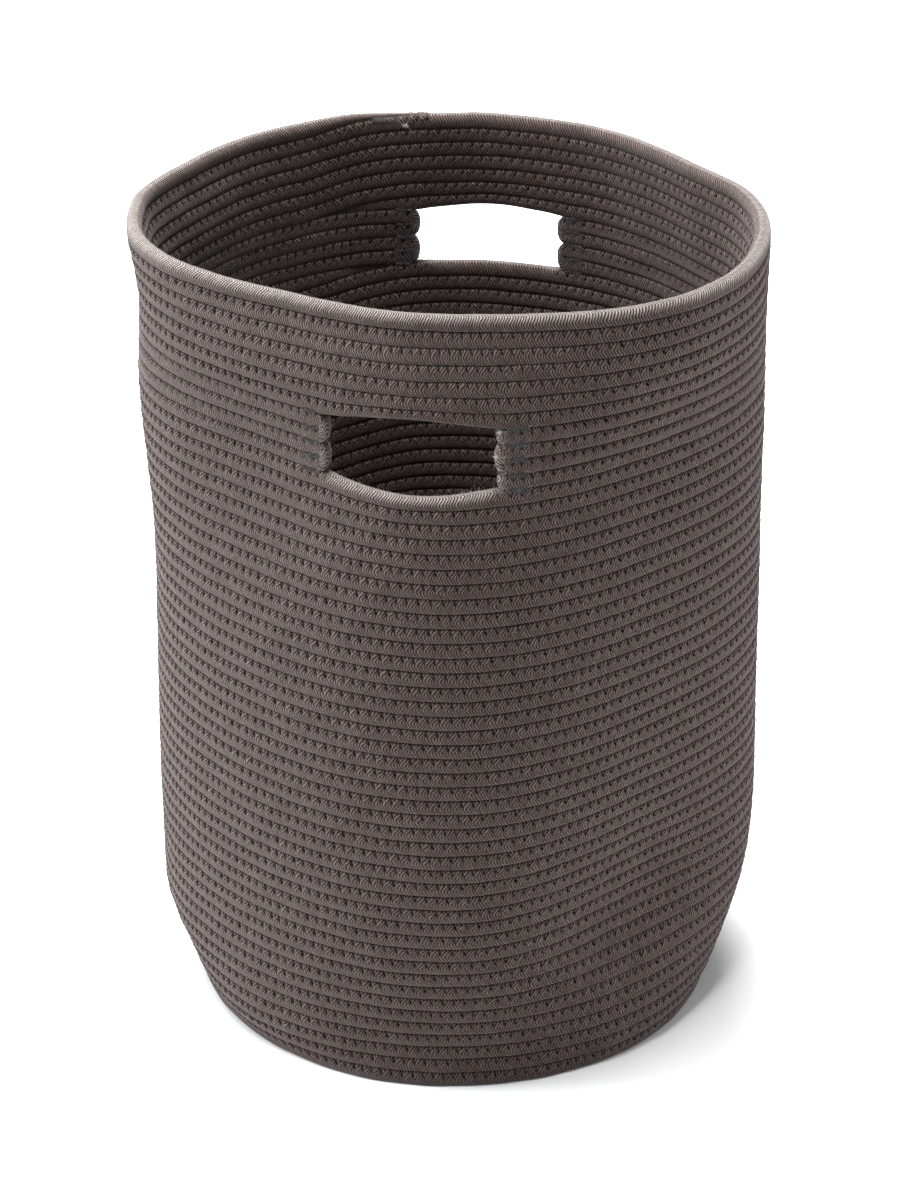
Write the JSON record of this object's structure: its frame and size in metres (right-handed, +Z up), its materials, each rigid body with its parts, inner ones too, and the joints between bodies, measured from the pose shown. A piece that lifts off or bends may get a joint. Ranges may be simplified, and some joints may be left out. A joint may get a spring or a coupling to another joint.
{
  "type": "laundry hamper",
  "caption": "Tall soft laundry hamper coiled from cotton rope, open at the top, with a hand slot in the front and rear walls.",
  "frame": {"origin": "middle of the bounding box at floor level", "axes": "+Z up from the floor to the rim; -Y towards the front hand slot; +X to the right as seen from the front"},
  "size_m": [0.388, 0.3794, 0.5],
  "materials": {
    "rope": "matt",
    "seam_thread": "matt",
    "tack_thread": "satin"
  },
  "bodies": {
    "root": {"base_coil": "rope", "lower_wall_coil": "rope", "upper_wall_coil": "rope", "left_lower_loop": "rope", "left_upper_loop": "rope", "right_panel_coil": "rope", "front_left_tacks": "tack_thread", "front_right_tacks": "tack_thread", "rear_left_tacks": "tack_thread", "rear_right_tacks": "tack_thread", "rim_tack": "tack_thread"}
  },
  "joints": []
}
